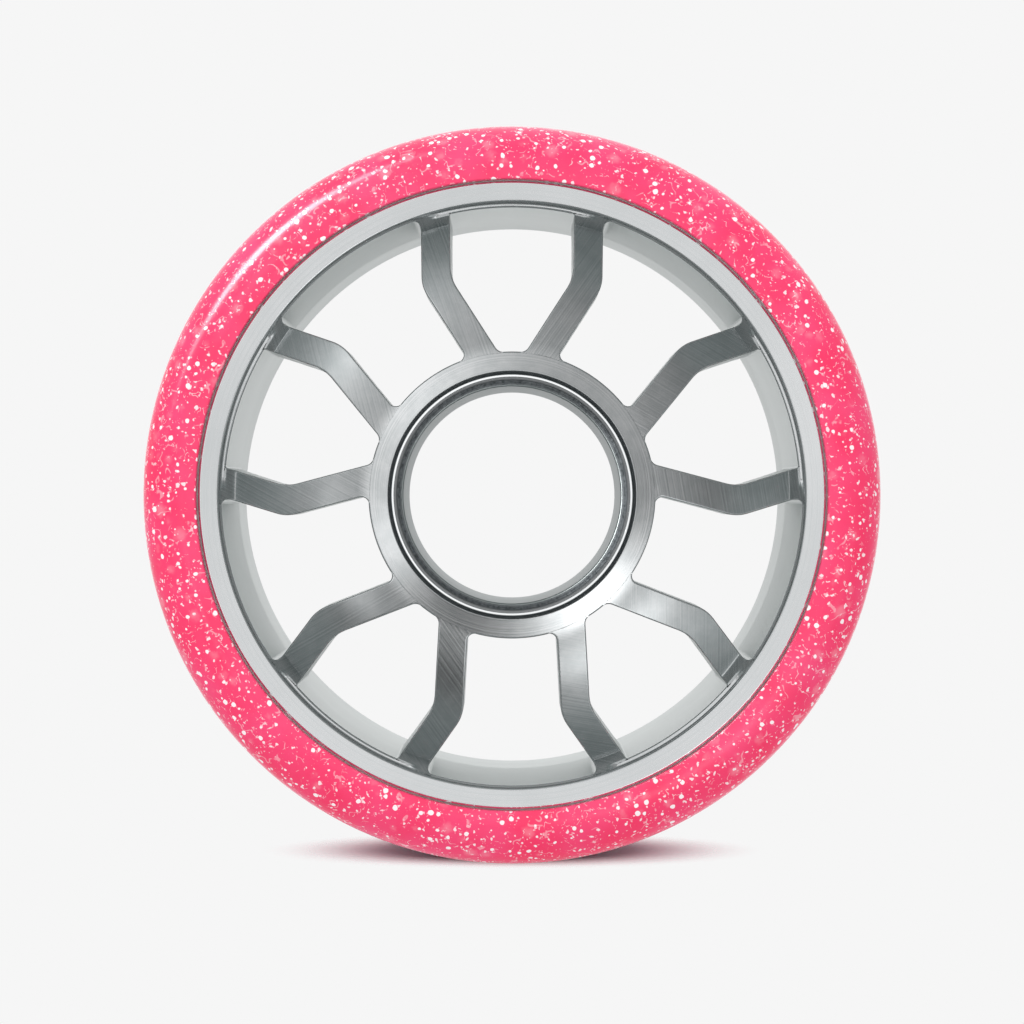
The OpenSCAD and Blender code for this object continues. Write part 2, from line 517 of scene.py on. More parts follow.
@dataclass(frozen=True)
class CastPolyurethane:
    """Cast polyurethane with white flakes in it.

    The polished mould gives it a glossy skin over a clear strong colour, and the flakes show as dots,
    crumbs and short threads of their real sizes.
    """

    name: str = "cast_polyurethane_flaked"
    colour: str = "FA3868"
    pale_colour: str = "FA4B7C"
    flake_colour: str = "FFF4F6"
    roughness: float = 0.19
    ior: float = 1.5
    dot_cell_mm: float = 0.84
    dot_mm: float = 0.27
    chip_cell_mm: float = 0.58
    chip_mm: float = 0.18
    thread_mm: float = 1.3
    cloud_mm: float = 5.0
    cloud_range: tuple[float, float] = (0.35, 0.7)
    warp_wave_mm: float = 1 / 2.2
    warp_mm: float = 0.55
    dot_warp_mm: float = 0.2

    @staticmethod
    def speck(
        tree: Tree, place: Socket, cell: float, size: float, power: float, soft: float = 0.03
    ) -> Socket:
        """Adds round specks, one in each cell, each with its own size.

        A speck covers the points nearer to its cell's seed than size times a random number raised to power.

        Args:
            tree: The material's nodes.
            place: Socket of the point, in millimetres.
            cell: Width of a cell in millimetres.
            size: Radius of the largest speck in millimetres.
            power: How rare large specks are.
            soft: Half the width of a speck's soft edge in millimetres.

        Returns:
            Socket that is 1 inside a speck and 0 outside.
        """
        seeds = add(tree, "TexVoronoi", {"Vector": place, "Scale": 1 / cell, "Randomness": 1.0})
        chance = add(tree, "SeparateColor", {0: seeds.outputs["Color"]})
        share = add(tree, "Math", {0: chance.outputs[0], 1: power}, operation="POWER")
        reach = add(tree, "Math", {0: share.outputs[0], 1: size / cell}, operation="MULTIPLY")
        ends = {0: reach.outputs[0], 1: seeds.outputs["Distance"]}
        gap = add(tree, "Math", ends, operation="SUBTRACT")
        return add(
            tree,
            "MapRange",
            {"Value": gap.outputs[0], "From Min": -soft / cell, "From Max": soft / cell},
            interpolation_type="SMOOTHSTEP",
        ).outputs[0]

    @staticmethod
    def thread(tree: Tree, place: Socket, size: float, width: float, shown: float) -> Socket:
        """Adds short curled threads: the places where a noise is near its middle, kept only in patches.

        Args:
            tree: The material's nodes.
            place: Socket of the point, in millimetres.
            size: Size of the noise's waves in millimetres.
            width: How near to the middle of the noise a thread reaches.
            shown: Level that a second, finer noise must pass for the thread to show.

        Returns:
            Socket that is 1 on a thread and 0 off it.
        """
        core, finer, fade = 0.4, 1.9, 0.06
        wave = add(tree, "TexNoise", {"Vector": place, "Scale": 1 / size, "Detail": 1.0})
        off = add(tree, "Math", {0: wave.outputs["Fac"], 1: 0.5}, operation="SUBTRACT")
        near = add(tree, "Math", {0: off.outputs[0]}, operation="ABSOLUTE")
        line = add(
            tree,
            "MapRange",
            {"Value": near.outputs[0], "From Min": width, "From Max": width * core},
            interpolation_type="SMOOTHSTEP",
        )
        patch = add(tree, "TexNoise", {"Vector": place, "Scale": finer / size, "Detail": 2.0})
        kept = add(
            tree,
            "MapRange",
            {"Value": patch.outputs["Fac"], "From Min": shown, "From Max": shown + fade},
        )
        both = {0: line.outputs[0], 1: kept.outputs[0]}
        return add(tree, "Math", both, operation="MULTIPLY").outputs[0]

    def flakes(self, tree: Tree, place: Socket) -> tuple[tuple[Socket, float], ...]:
        """Adds the kinds of flake, each on a place that a noise pushes about so that it isn't quite round.

        Args:
            tree: The material's nodes.
            place: Socket of the point, in millimetres.

        Returns:
            For each kind, from the bottom up, the socket of its mask and how far it covers the colour.
        """
        wave = add(tree, "TexNoise", {"Vector": place, "Scale": 1 / self.warp_wave_mm, "Detail": 1.0})
        middle = {0: wave.outputs["Color"], 1: (0.5, 0.5, 0.5)}
        push = add(tree, "VectorMath", middle, operation="SUBTRACT").outputs[0]
        moved = []
        for far in (self.warp_mm, self.dot_warp_mm):
            some = add(tree, "VectorMath", {0: push, "Scale": far}, operation="SCALE").outputs[0]
            moved.append(add(tree, "VectorMath", {0: place, 1: some}, operation="ADD").outputs[0])
        bent, eased = moved
        dot_cell, dot, chip_cell, chip = self.dot_cell_mm, self.dot_mm, self.chip_cell_mm, self.chip_mm
        return (
            (self.speck(tree, bent, cell=dot_cell * 2.3, size=dot * 2.2, power=1.0, soft=0.35), 0.16),
            (self.thread(tree, bent, size=self.thread_mm, width=0.016, shown=0.55), 0.5),
            (self.thread(tree, place, size=self.thread_mm * 1.4, width=0.02, shown=0.53), 0.28),
            (self.speck(tree, bent, cell=chip_cell * 0.75, size=chip * 0.55, power=1.4), 0.45),
            (self.speck(tree, bent, cell=chip_cell, size=chip, power=1.3), 0.8),
            (self.speck(tree, eased, cell=dot_cell, size=dot, power=1.5), 1.0),
        )

    def material(self) -> bpy.types.Material:
        """Builds the material: cloudy pink, with dots, crumbs and threads of white flake through it.

        Returns:
            The material.
        """
        made = bpy.data.materials.new(self.name)
        tree = emptied(made)
        local = add(tree, "TexCoord").outputs["Object"]
        place = add(tree, "VectorMath", {0: local, "Scale": 1 / MM}, operation="SCALE").outputs[0]
        cloud = add(tree, "TexNoise", {"Vector": place, "Scale": 1 / self.cloud_mm, "Detail": 3.0})
        low, high = self.cloud_range
        tone = add(tree, "MapRange", {"Value": cloud.outputs["Fac"], "From Min": low, "From Max": high})
        colour = add(
            tree,
            "Mix",
            {0: tone.outputs[0], MIX_A: linear(self.colour), MIX_B: linear(self.pale_colour)},
            data_type="RGBA",
        ).outputs[MIX_OUT]
        for mask, share in self.flakes(tree, place):
            part = add(tree, "Math", {0: mask, 1: share}, operation="MULTIPLY")
            colour = add(
                tree,
                "Mix",
                {0: part.outputs[0], MIX_A: colour, MIX_B: linear(self.flake_colour)},
                data_type="RGBA",
            ).outputs[MIX_OUT]
        shader = add(
            tree,
            "BsdfPrincipled",
            {"Base Color": colour, "Roughness": self.roughness, "IOR": self.ior},
        )
        add(tree, "OutputMaterial", {"Surface": shader.outputs[0]})
        return made


@dataclass(frozen=True)
class Keying:
    """The outside of the rim: its radius, half its width, and the grooves that the cast tyre fills."""

    rim_r: float = 29.6
    half: float = 14.75
    count: int = 4
    width: float = 3.0
    depth: float = 0.8

    def profile(self) -> Array:
        """Corners of the grooves, four to each, at an even pitch from the back of the rim to its front.

        Returns:
            Radius and height of each corner, one a row.
        """
        middle = (np.arange(self.count) + 0.5 - self.count / 2) * (2 * self.half / self.count)
        height = middle[:, None] + np.array([-1, -1, 1, 1]) * self.width / 2
        radius = np.tile(self.rim_r - np.array([0, self.depth, self.depth, 0]), self.count)
        return np.stack([radius, height.ravel()], axis=-1)


@dataclass
class Hub:
    """The one-piece aluminium hub: bearing ring, five pairs of bent spokes, and rim."""

    # Rim and lip
    keying: Keying = Keying()
    lip_r: float = 27.5
    lip_edge: float = 0.2
    lip_fall: float = 0.09
    bevel_w: float = 0.13
    bevel_deg: float = 12.0
    seam_w: float = 0.15
    seam_depth: float = 0.5
    line_edge: float = 0.06
    # Bearing ring
    ring_r: float = 13.4
    ring_edge: float = 0.15
    face_h: float = 16.5
    face_fall: float = 0.14
    seat_r: float = 11.0
    seat_depth: float = 7.0
    bore_r: float = 10.4
    shoulder_edge: float = 0.15
    mouth_r: float = 0.23
    lead_w: float = 0.37
    lead_depth: float = 0.5
    # Spokes: the first of each pair is on its left as the front is seen, and u is off its middle line
    pair_n: int = 5
    spoke_w: float = 2.75
    spoke_t: float = 8.2
    spoke_edge: float = 0.11
    face_step: float = 0.35
    crown_r: float = 30.0
    dish_r: float = 14.1
    dish_root_r: float = 1.5
    root_u: float = 2.75
    bend: tuple[float, float] = (7.1, 19.9)
    tip_u: float = 7.26
    bend_in_r: float = 4.0
    bend_out_r: float = 3.5
    notch_r: float = 0.9
    root_r: float = 0.7
    tip_in_r: float = 0.3
    tip_out_r: float = 0.6
    bank_rise: float = 0.86
    valley_r: float = 26.15
    valleys: tuple[float, ...] = (0.004, 0.004, 0.004, 0.10, 0.10, 0.01, 0.004, 0.004, 0.16, 0.02)
    # Windows
    pair_r: float = 27.05
    gap_r: float = 27.3
    gap_edge: float = 0.04
    ledge_h: float = 14.0
    ledge_fall: float = 0.003
    ledge_cove: float = 0.16
    ledge_edge: float = 0.18
    ledge_past_deg: float = 5.0
    ledge_fade_deg: float = 2.8
    # Milling marks of each spoke, which grow fainter outwards
    mark_turns: tuple[float, ...] = (20, -35, 60, 10, 0, 80, 35, -60, 62, 15)
    mark_depths: tuple[float, ...] = (0.2, 0.2, 0.4, 0.3, 0.8, 0.3, 0.5, 0.3, 1.0, 0.2)
    mark_fade: float = 0.75
    mark_fade_r: float = 18.5
    mark_fade_w: float = 3.0
    # How the solids overlap before they are united, and how fine their grids are
    overlap: float = 0.02
    root_sunk: float = 1.2
    tip_sunk: float = 0.9
    turns: int = 480
    ring_turns: int = 240
    foot_n: int = 9
    leg_n: int = 14
    bend_n: int = 11
    tip_n: int = 13
    end_n: int = 3
    edge_n: int = 5
    line_n: int = 4
    cove_n: int = 7
    ledge_n: int = 6
    dish_n: int = 6
    line_hold: float = 0.02
    columns: tuple[float, ...] = (0.03, 0.1, 0.2, 0.3, 0.4, 0.5, 0.6, 0.7, 0.85, 0.97)
    wall_rows: tuple[float, ...] = (0.01, 0.5, 0.99)
    valley_rows: tuple[float, ...] = (0.010, 0.025, 0.045, 0.07, 0.10, 0.15, 0.22, 0.32)
    sharp_deg: float = 35.0

    def face_edge_h(self) -> float:
        """Height of the ring's face at its outer edge: it falls away a little from the bore."""
        wide = self.ring_r - self.ring_edge - self.seat_r - self.mouth_r - self.lead_w
        return self.face_h - self.face_fall * wide

    def front(self, r: Array, valley: float) -> Array:
        """Height of the spokes' front at a radius.

        A crowned arc, eased up to the edge of the ring's face by a decaying curve, and a straight bank up
        to the lip: the higher of the two, with the valley between them rounded.

        Args:
            r: The radii.
            valley: Size of the rounding in the valley.

        Returns:
            The heights.
        """
        low = self.face_h - self.face_step - self.crown_r
        crown = low + np.sqrt(self.crown_r**2 - (np.clip(r, self.ring_r, self.lip_r) - self.ring_r) ** 2)
        start, rise = self.ring_r - self.ring_edge, self.face_edge_h() - self.face_h + self.face_step
        crown = crown + rise * np.exp(-np.maximum(r - start, 0) * self.face_fall / rise)
        top = self.keying.half - self.lip_fall - self.lip_edge
        bank = top - (self.lip_r - np.minimum(r, self.lip_r)) * self.bank_rise
        return (crown + bank + np.sqrt((crown - bank) ** 2 + valley**2)) / 2

    def back(self, r: Array) -> Array:
        """Height of the spokes' back at a radius: a dish that ends on the rim, filleted at the ring.

        Args:
            r: The radii.

        Returns:
            The heights.
        """
        low = self.face_h - self.face_step - self.spoke_t - self.dish_r
        root = self.dish_root_r
        fillet_h = low + math.sqrt((self.dish_r - root) ** 2 - root**2)
        change = self.ring_r + root * self.dish_r / (self.dish_r - root)
        near = np.clip(r, self.ring_r, change) - self.ring_r - root
        fillet = fillet_h + np.sqrt(np.maximum(root**2 - near**2, 0))
        far = np.clip(r, change, self.lip_r) - self.ring_r
        dish = low + np.sqrt(np.maximum(self.dish_r**2 - far**2, 0))
        return np.where(r < change, fillet, dish)

    def ledge_share(self, off: Array) -> Array:
        """How far the ledge of a pair's window is cut at an angle off the pair's middle line.

        It is cut fully across the window and the near part of each spoke's tip, and runs out from there.

        Args:
            off: The angles in degrees.

        Returns:
            1 where the ledge is full, and 0 where there is none.
        """
        corner_deg = math.degrees(math.asin((self.tip_u - self.spoke_w / 2) / self.pair_r))
        t = np.clip((corner_deg + self.ledge_past_deg - off) / self.ledge_fade_deg, 0, 1)
        return t * t * (3 - 2 * t)

    def side(self, sign: int, foot_r: float, knee_r: float, top_r: float, outer_r: float) -> Array:
        """One side of a spoke in plan, from inside the ring to inside the rim.

        Two straight legs meet in a rounded bend, and a fillet joins each to the ring or the rim. Round the
        valley the points lie on set radii, so that a row of points follows it across the spoke.

        Args:
            sign: 1 for the side towards the pair's own window, -1 for the other side.
            foot_r: Radius of the fillet at the ring.
            knee_r: Radius of the bend.
            top_r: Radius of the fillet at the rim.
            outer_r: Radius of the window's outer edge.

        Returns:
            Plan points, one a row.
        """
        root = np.array([self.root_u, math.sqrt(self.ring_r**2 - self.root_u**2)])
        bend = np.array(self.bend)
        tip = np.array([self.tip_u, math.sqrt(self.lip_r**2 - self.tip_u**2)])
        leg, leg_2 = unit(bend - root), unit(tip - bend)
        out, out_2 = left(leg) * sign, left(leg_2) * sign
        start, end = root + out * self.spoke_w / 2, bend + out_2 * self.spoke_w / 2
        knee = meeting(start, leg, end, leg_2)
        cut = knee_r * math.tan(math.acos(float(leg @ leg_2)) / 2)
        knee_a, knee_b = knee - leg * cut, knee + leg_2 * cut
        knee_c = knee_a + left(leg) * knee_r * math.copysign(1, cross(leg, leg_2))
        foot = leaving(start + out * foot_r, leg, self.ring_r + foot_r - self.overlap)
        top = leaving(end + out_2 * top_r, leg_2, outer_r - top_r + self.overlap)
        foot_a, foot_b = foot - unit(foot) * foot_r, foot - out * foot_r
        top_a, top_b = top - out_2 * top_r, top + unit(top) * top_r
        inside, outside = unit(foot) * (self.ring_r - self.root_sunk), unit(top) * (outer_r + self.tip_sunk)
        rows = np.array(self.valley_rows)
        valley = leaving(end, leg_2, self.valley_r + np.concatenate([-rows[::-1], [0.0], rows]))
        return np.vstack(
            [
                inside,
                arc(foot, foot_a, foot_b, self.foot_n),
                run(foot_b, knee_a, self.leg_n),
                arc(knee_c, knee_a, knee_b, self.bend_n),
                run(knee_b, valley[0], self.leg_n),
                valley,
                run(valley[-1], top_a, self.end_n),
                arc(top, top_a, top_b, self.tip_n),
                run(top_b, outside, self.end_n),
                outside,
            ]
        )

    def spoke_plan(self) -> tuple[Array, Array]:
        """Plan of the front of a pair's right-hand spoke: rows from the ring to the rim, columns across.

        The outer columns follow a quarter round that breaks each edge. The others lie on straight lines
        from side to side, each point moved to the radius between the two ends' radii.

        Returns:
            The plan points, of shape (rows, columns, 2), and how far each column lies below the front.
        """
        inner = self.side(1, self.notch_r, self.bend_in_r, self.tip_in_r, self.pair_r)
        outer = self.side(-1, self.root_r, self.bend_out_r, self.tip_out_r, self.gap_r)
        into = -left(unit(np.gradient(inner, axis=0)))
        into_2 = left(unit(np.gradient(outer, axis=0)))
        edge = np.radians(np.linspace(0, 90, self.edge_n))
        inset, drop = self.spoke_edge * (1 - np.cos(edge)), self.spoke_edge * (1 - np.sin(edge))
        first = inner[:, None] + into[:, None] * inset[:, None]
        last = outer[:, None] + into_2[:, None] * inset[::-1, None]
        t = np.array(self.columns)[:, None]
        middle = first[:, -1:] + (last[:, :1] - first[:, -1:]) * t
        ends = [np.linalg.norm(e, axis=-1, keepdims=True) for e in (first[:, -1:], last[:, :1])]
        middle = unit(middle) * (ends[0] + (ends[1] - ends[0]) * t)
        sunk = np.concatenate([drop, np.zeros(len(t)), drop[::-1]])
        return np.concatenate([first, middle, last], axis=1), sunk

    def spoke(
        self, turn: float, mirrored: bool, mark_turn: float, mark_depth: float, valley: float
    ) -> Shell:
        """One spoke: a loop round its section, carried from the ring to the rim.

        Across the section the front follows the crown, both edges are broken by a quarter round, and the
        back follows the dish.

        Args:
            turn: Angle of the pair's middle line, clockwise from the top, in degrees.
            mirrored: Whether it is the pair's left-hand spoke.
            mark_turn: Direction of its milling marks in degrees.
            mark_depth: Share of the full depth that its marks have.
            valley: Size of the rounding in the valley at its tip.

        Returns:
            The surface.
        """
        plan, sunk = self.spoke_plan()
        cols, edge_n = plan.shape[1], self.edge_n
        r = np.linalg.norm(plan, axis=-1)
        off = np.degrees(np.arctan2(plan[..., 0], plan[..., 1]))
        front = self.front(r, valley)
        over = np.where(r > self.valley_r, np.maximum(front - self.ledge_h + self.overlap / 2, 0), 0)
        front, back = front - self.ledge_share(off) * over - sunk, self.back(r) + sunk
        wall = np.array(self.wall_rows)
        outer_wall = front[:, -1:] + (back[:, -1:] - front[:, -1:]) * wall
        inner_wall = back[:, :1] + (front[:, :1] - back[:, :1]) * wall
        outer_plan, inner_plan = (np.repeat(side, len(wall), 1) for side in (plan[:, -1:], plan[:, :1]))
        under = np.r_[cols - 1 : cols - edge_n - 2 : -1, edge_n:-1:-1]
        loop = np.concatenate([plan, outer_plan, plan[:, under], inner_plan], axis=1)
        height = np.concatenate([front, outer_wall, back[:, under], inner_wall], axis=1)
        x = -loop[..., 0] if mirrored else loop[..., 0]
        a, m = math.radians(turn), math.radians(mark_turn)
        flat_x = x * math.cos(a) + loop[..., 1] * math.sin(a)
        flat_z = -x * math.sin(a) + loop[..., 1] * math.cos(a)
        across = (flat_x * math.cos(m) + flat_z * math.sin(m)) * MM
        outwards = np.clip((np.linalg.norm(loop, axis=-1) - self.mark_fade_r) / self.mark_fade_w, 0, 1)
        marks = np.stack([across, mark_depth * (1 - self.mark_fade * outwards)], axis=-1)
        bands = np.full(loop.shape[1], Finish.WALL.value)
        bands[: cols - 1] = Finish.EDGE.value
        bands[edge_n - 1 : cols - edge_n] = Finish.FACE.value
        points = np.stack([flat_x, -height, flat_z], axis=-1)
        return Shell(points, np.repeat(bands[None], len(loop), axis=0), marks, wrap_rows=False)

    def ring(self) -> Shell:
        """The bearing ring: a stepped bore with a seat at each end, turned round the axle.

        Returns:
            The surface.
        """
        edge, face, face_edge = self.ring_edge, self.face_h, self.face_edge_h()
        mouth, mouth_h = self.seat_r + self.mouth_r, face - self.lead_depth
        shoulder = mouth_h - self.mouth_r - self.seat_depth
        step, step_r = self.shoulder_edge, self.bore_r + self.shoulder_edge
        line, line_r = self.line_edge, self.seat_r + self.line_edge
        cone = math.degrees(math.atan2(self.lead_depth, self.lead_w))
        lead_r = mouth + self.lead_w + line * math.tan(math.radians(cone / 2))
        half = [
            (straight((self.bore_r, 0), (self.bore_r, shoulder - step)), Finish.BORE),
            (rounded((step_r, shoulder - step), step, 180, 90, self.line_n), Finish.BORE),
            (straight((step_r, shoulder), (self.seat_r, shoulder)), Finish.STEP),
            (straight((self.seat_r, shoulder), (self.seat_r, mouth_h - line)), Finish.SEAT),
            (rounded((line_r, mouth_h - line), line, 180, 90, self.line_n), Finish.LIP),
            (straight((line_r, mouth_h), (mouth, mouth_h), hold=self.line_hold), Finish.LINE),
            (np.array([(mouth, mouth_h)]), Finish.SEAT),
            (rounded((lead_r, face - line), line, 90 + cone, 90, self.line_n), Finish.LIP),
            (straight((lead_r, face), (self.ring_r - edge, face_edge)), Finish.FACE),
            (rounded((self.ring_r - edge, face_edge - edge), edge, 90, 0), Finish.EDGE),
            (straight((self.ring_r, face_edge - edge), (self.ring_r, 0)), Finish.WALL),
        ]
        points, finish = joined(half)
        back = points[::-1] * np.array([1, -1])
        return turned(*joined([(points, finish), (back, np.roll(finish[::-1], -1))]), self.ring_turns)

    def lip(self) -> tuple[Array, Array]:
        """Profile of the rim's outside and its front lip, from the back to the lip's inner edge.

        The keying grooves lie under the tyre. A narrow gap parts the lip from it, and the lip's outer edge
        has a small bevel.

        Returns:
            Radius and height of each point, and the finish of the band that starts there.
        """
        keying, edge, line, hold = self.keying, self.lip_edge, self.line_edge, self.line_hold
        half, fall, slope = keying.half, self.lip_fall, math.radians(self.bevel_deg)
        inner_r, seam_r = self.lip_r + edge, keying.rim_r - self.seam_w
        drop, floor_h = self.bevel_w * math.tan(slope), half - self.seam_depth
        bevel_r = seam_r - line - self.bevel_w + line * math.sin(slope)
        corner = (seam_r - line, half - drop - line * math.cos(slope))
        return joined(
            [
                (np.vstack([(keying.rim_r, edge - half), keying.profile()]), Finish.WALL),
                (np.array([(keying.rim_r, floor_h), (seam_r, floor_h)]), Finish.WALL),
                (rounded(corner, line, 0, 90 - self.bevel_deg, self.line_n), Finish.LIP),
                (straight((bevel_r + self.bevel_w, half - drop), (bevel_r, half), hold=hold), Finish.LINE),
                (straight((bevel_r, half), (inner_r, half - fall)), Finish.LIP),
                (rounded((inner_r, half - fall - edge), edge, 90, 180), Finish.LIP),
            ]
        )

    def far_lip(self) -> tuple[Array, Array]:
        """Profile of the barrel behind the spokes and of the back lip, up to the rim's outside.

        Returns:
            Radius and height of each point, and the finish of the band that starts there.
        """
        edge, half = self.lip_edge, self.keying.half
        inner_r, outer_r = self.lip_r + edge, self.keying.rim_r - edge
        return joined(
            [
                (straight((self.lip_r, self.dish_end_h()), (self.lip_r, edge - half)), Finish.WALL),
                (rounded((inner_r, edge - half), edge, 180, 270), Finish.LIP),
                (straight((inner_r, -half), (outer_r, -half)), Finish.LIP),
                (rounded((outer_r, edge - half), edge, 270, 360), Finish.LIP),
            ]
        )

    def dish_end_h(self) -> float:
        """Height at which the dish in the spokes' back ends on the rim."""
        return self.face_h - self.face_step - self.spoke_t - self.dish_r - self.overlap

    def window_edges(self) -> tuple[Array, Array]:
        """Profiles of the rim just inside its lip, with as many points each.

        Inside a pair the window leaves a small flat ledge with a cove under the lip. Between pairs the
        bank of the spokes' front runs straight to the window.

        Returns:
            Radius and height of each point for a pair's window, and for a window between pairs.
        """
        hold_lip, hold_cove, corner_n = 0.04, 0.05, self.ledge_n
        corner, hollow, soft = self.ledge_edge, self.ledge_cove, self.gap_edge
        inner_r, outer_r = self.pair_r + corner, self.lip_r - self.overlap - hollow
        lip_h, inner_h = self.keying.half - self.lip_fall - self.lip_edge, self.ledge_h - self.ledge_fall
        ledge = np.vstack(
            [
                [(self.lip_r, lip_h - hold_lip), (outer_r + hollow, self.ledge_h + hollow + hold_cove)],
                rounded((outer_r, self.ledge_h + hollow), hollow, 0, -90, self.cove_n),
                straight((outer_r, self.ledge_h), (inner_r, inner_h), hold=self.line_hold),
                rounded((inner_r, inner_h - corner), corner, 90, 180, corner_n),
            ]
        )
        reach = np.linspace(self.lip_r, self.gap_r + soft, len(ledge) - corner_n)
        bank = np.stack([reach, self.front(reach, self.valleys[0]) - self.overlap], axis=-1)
        turn = rounded((self.gap_r + soft, bank[-1, 1] - soft), soft, 120, 180, corner_n)
        return ledge, np.vstack([bank, turn])

    def rim(self) -> Shell:
        """The rim: a barrel with a flat lip at each end and keying grooves under the tyre.

        Its profile changes round the wheel, from a pair's window to a window between pairs and back, by the
        share of the ledge at each angle.

        Returns:
            The surface.
        """
        ledge, bank = self.window_edges()
        barrel = []
        for wall_r, top in ((self.pair_r, ledge), (self.gap_r, bank)):
            begin = math.degrees(math.acos((wall_r - self.ring_r) / self.dish_r))
            dish = rounded((self.ring_r, self.dish_end_h()), self.dish_r, begin, 0, self.dish_n)
            barrel.append(np.vstack([top, straight((wall_r, top[-1, 1]), tuple(dish[0])), dish]))
        pitch_deg = 360 / self.pair_n
        angle = np.linspace(0, 360, self.turns, endpoint=False)
        off = np.abs((angle + pitch_deg / 2) % pitch_deg - pitch_deg / 2)
        middle = barrel[1][:, None] + (barrel[0] - barrel[1])[:, None] * self.ledge_share(off)[:, None]
        kinds = np.full(len(middle), Finish.WALL.value)
        kinds[: len(ledge)] = Finish.LIP.value
        head, head_kinds = self.lip()
        tail, tail_kinds = self.far_lip()
        wide = [np.repeat(p[:, None], self.turns, axis=1) for p in (head, tail[1:-1])]
        profile = np.concatenate([wide[0], middle[1:], wide[1]])
        finish = np.concatenate([head_kinds, kinds[1:], tail_kinds[1:-1]])
        return turned(profile, finish, self.turns)

    def build(self) -> bpy.types.Object:
        """Makes the ring, the rim and the spokes and unites them.

        Returns:
            The hub as one closed piece.
        """
        dress = [finish.material() for finish in self.finishes()]
        body = self.ring().to_object("hub_machined", dress)
        others = [self.rim().to_object("rim", dress)]
        for i, looks in enumerate(zip(self.mark_turns, self.mark_depths, self.valleys)):
            turn = 360 / self.pair_n * (i // 2)
            others.append(self.spoke(turn, i % 2 == 0, *looks).to_object(f"spoke_{i}", dress))
        fused(body, others)
        shaded(body, self.sharp_deg)
        return body

    @staticmethod
    def finishes() -> tuple[Aluminium, ...]:
        """The hub's finishes, in the order of Finish.

        Returns:
            One finish for each kind of face.
        """
        return (
            # Faced with a milling cutter: bright, with straight scratches; the spokes are darkened by a
            # painted shade.
            Aluminium(
                "aluminium_faced", "E6E8E9", "D2D6D7", 0.20, Lay.RUNS,
                pitch_mm=0.16, depth_mm=0.0012, patch_mm=1.6, painted_shade_colour="D4D5D5",
            ),
            # Turned with a fine feed: an even satin sheen with faint rings.
            Aluminium(
                "aluminium_turned", "D7D9DA", "C6C9CA", 0.18, Lay.RINGS,
                pitch_mm=0.25, depth_mm=0.0004, patch_mm=20.0,
            ),
            # Milled with the cutter's side: a matt grey without clear reflections.
            Aluminium(
                "aluminium_side_milled", "DBE0DF", "D3D8D7", 0.46, Lay.RINGS,
                pitch_mm=0.40, depth_mm=0.0005, patch_mm=6.0, tint=0.95,
            ),
            # Bored to size: dull, with close rings that break up its reflections; its dark colour and
            # weakened reflections are painted shade of the recess.
            Aluminium(
                "aluminium_bored_painted_shade", "B4B9BB", "93989B", 0.40, Lay.RINGS,
                pitch_mm=0.30, depth_mm=0.002, patch_mm=1.0, tint=0.45,
            ),
            # Drilled right through: a soft grey sheen along the bore.
            Aluminium(
                "aluminium_drilled", "C2C8C8", "B6BCBC", 0.40, Lay.RINGS,
                pitch_mm=0.30, depth_mm=0.0005, patch_mm=4.0, tint=0.75,
            ),
            # Edges rubbed with a deburring wheel: matt, so that no edge glints.
            Aluminium(
                "aluminium_deburred", "C6CACB", "B6BBBC", 0.45, Lay.RINGS,
                pitch_mm=0.40, depth_mm=0.0005, patch_mm=1.5,
            ),
            # The step behind the seat, cut rough, with small bright specks; its dark colour and weakened
            # reflections are painted shade deep in the bore.
            Aluminium(
                "aluminium_rough_turned_painted_shade", "9DA2A5", "4E5356", 0.42, Lay.RINGS,
                pitch_mm=0.20, depth_mm=0.012, patch_mm=0.3, tint=0.45,
            ),
            # Narrow bands that the tool's heel has pressed smooth: a thin line that is nearly a mirror.
            Aluminium(
                "aluminium_burnished", "F1F2F3", "EAECED", 0.12, Lay.RINGS,
                pitch_mm=0.50, depth_mm=0.0002, patch_mm=3.0,
            ),
        )


@dataclass
class Tyre:
    """The cast tyre, bonded to the rim and keyed into its grooves."""

    keying: Keying = Keying()
    tread_r: float = 35.0
    half: float = 15.5
    shoulder_r: float = 4.5
    seam_r: float = 0.15
    turns: int = 480
    shoulder_n: int = 22
    sharp_deg: float = 40.0

    def build(self) -> bpy.types.Object:
        """Turns the tyre's profile round the axle.

        Returns:
            The tyre as one closed piece.
        """
        wide, seam, half, count = self.shoulder_r, self.seam_r, self.half, self.shoulder_n
        outer, inner = self.tread_r - wide, self.keying.rim_r + seam
        bands = [
            rounded((inner, seam - half), seam, 180, 270),
            straight((inner, -half), (outer, -half)),
            rounded((outer, wide - half), wide, -90, 0, count),
            straight((self.tread_r, wide - half), (self.tread_r, half - wide)),
            rounded((outer, half - wide), wide, 0, 90, count),
            straight((outer, half), (inner, half)),
            rounded((inner, half - seam), seam, 90, 180),
            self.keying.profile()[::-1],
        ]
        shell = turned(*joined([(band, Finish.FACE) for band in bands]), self.turns)
        body = shell.to_object("tyre_cast", [CastPolyurethane().material()])
        shaded(body, self.sharp_deg)
        return body


@dataclass(frozen=True)
class Glow:
    """A soft light of the studio that only shows in gloss: where it stands, how strong and how narrow."""

    off_axis_deg: float
    clock_deg: float
    strength: float
    narrow: float


@dataclass(frozen=True)
class Lamp:
    """A square soft light: where it stands, its width in millimetres and its power."""

    name: str
    off_axis_deg: float
    clock_deg: float
    wide: float
    watts: float


